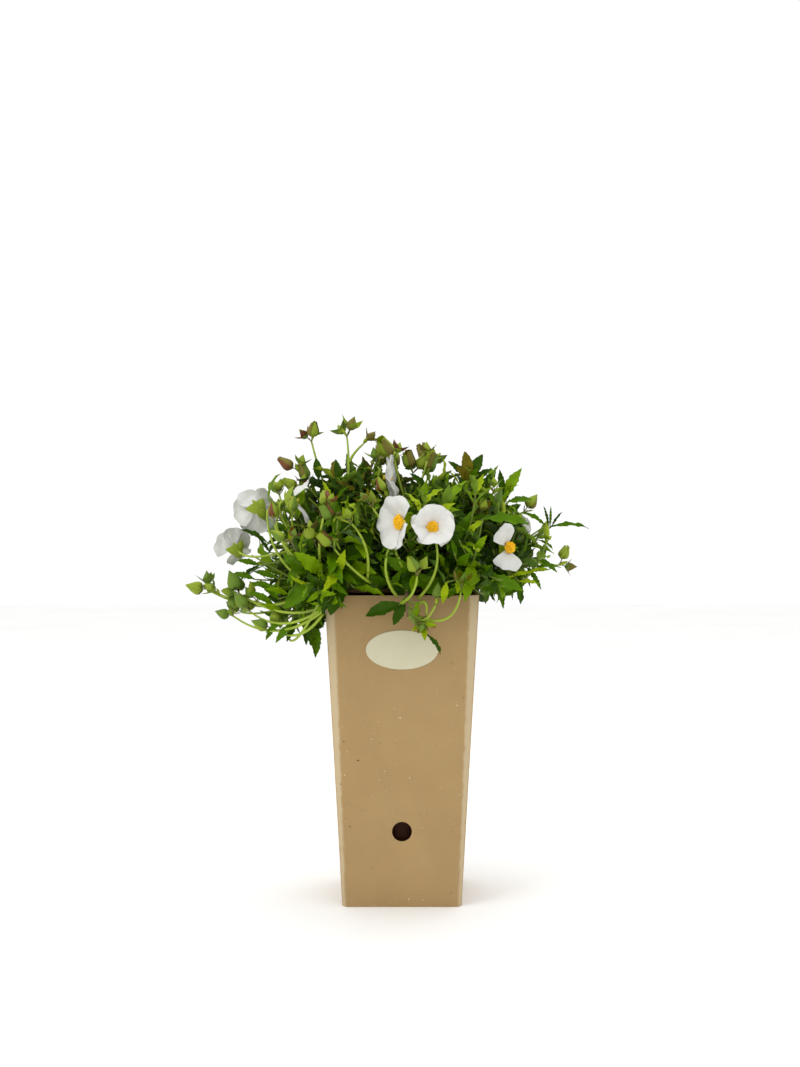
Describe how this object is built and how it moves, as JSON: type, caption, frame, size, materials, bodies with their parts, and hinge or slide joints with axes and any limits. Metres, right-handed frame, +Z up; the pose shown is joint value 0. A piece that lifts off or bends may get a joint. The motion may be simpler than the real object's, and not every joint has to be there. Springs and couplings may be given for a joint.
{
  "type": "potted rockrose shrub",
  "caption": "Low spreading evergreen shrub with toothed narrow leaves, buds and white open flowers, in a square nursery pot inside a tall tapered card sleeve.",
  "frame": {"origin": "middle of the pot's flat underside, on the surface that the pot stands on", "axes": "+Z up, -Y towards the front, the side of the card sleeve with the label and the hole; +X to the right seen from the front"},
  "size_m": [0.3232, 0.2401, 0.3802],
  "materials": {
    "card": "uncoated brown kraft card with fine fibres and pale scuffed folds",
    "label": "matt pale cream paper",
    "plastic": "dark brown moulded plastic",
    "soil": "moist dark compost with fibres and bark crumbs",
    "bark": "finely ridged grey-brown bark",
    "foliage": "mid-green leaves with a soft gloss, lime young growth, reddish buds and white papery flowers"
  },
  "bodies": {
    "root": {"sleeve": "card", "label": "label", "inner_pot": "plastic", "soil": "soil", "main_stem": "bark", "bough_left_low": "bark", "bough_left_middle": "bark", "bough_left_top": "bark", "bough_crown": "bark", "bough_front": "bark", "bough_front_low": "bark", "bough_front_left": "bark", "bough_front_right": "bark", "bough_right_top": "bark", "bough_right_middle": "bark", "bough_right_low": "bark", "bough_back_left": "bark", "bough_back": "bark", "bough_back_right": "bark", "bough_back_top": "bark", "mass_left_low": "foliage", "mass_left_middle": "foliage", "mass_left_top": "foliage", "mass_crown": "foliage", "mass_front": "foliage", "mass_front_low": "foliage", "mass_front_left": "foliage", "mass_front_right": "foliage", "mass_right_top": "foliage", "mass_right_middle": "foliage", "mass_right_low": "foliage", "mass_back_left": "foliage", "mass_back": "foliage", "mass_back_right": "foliage", "mass_back_top": "foliage"}
  },
  "joints": []
}
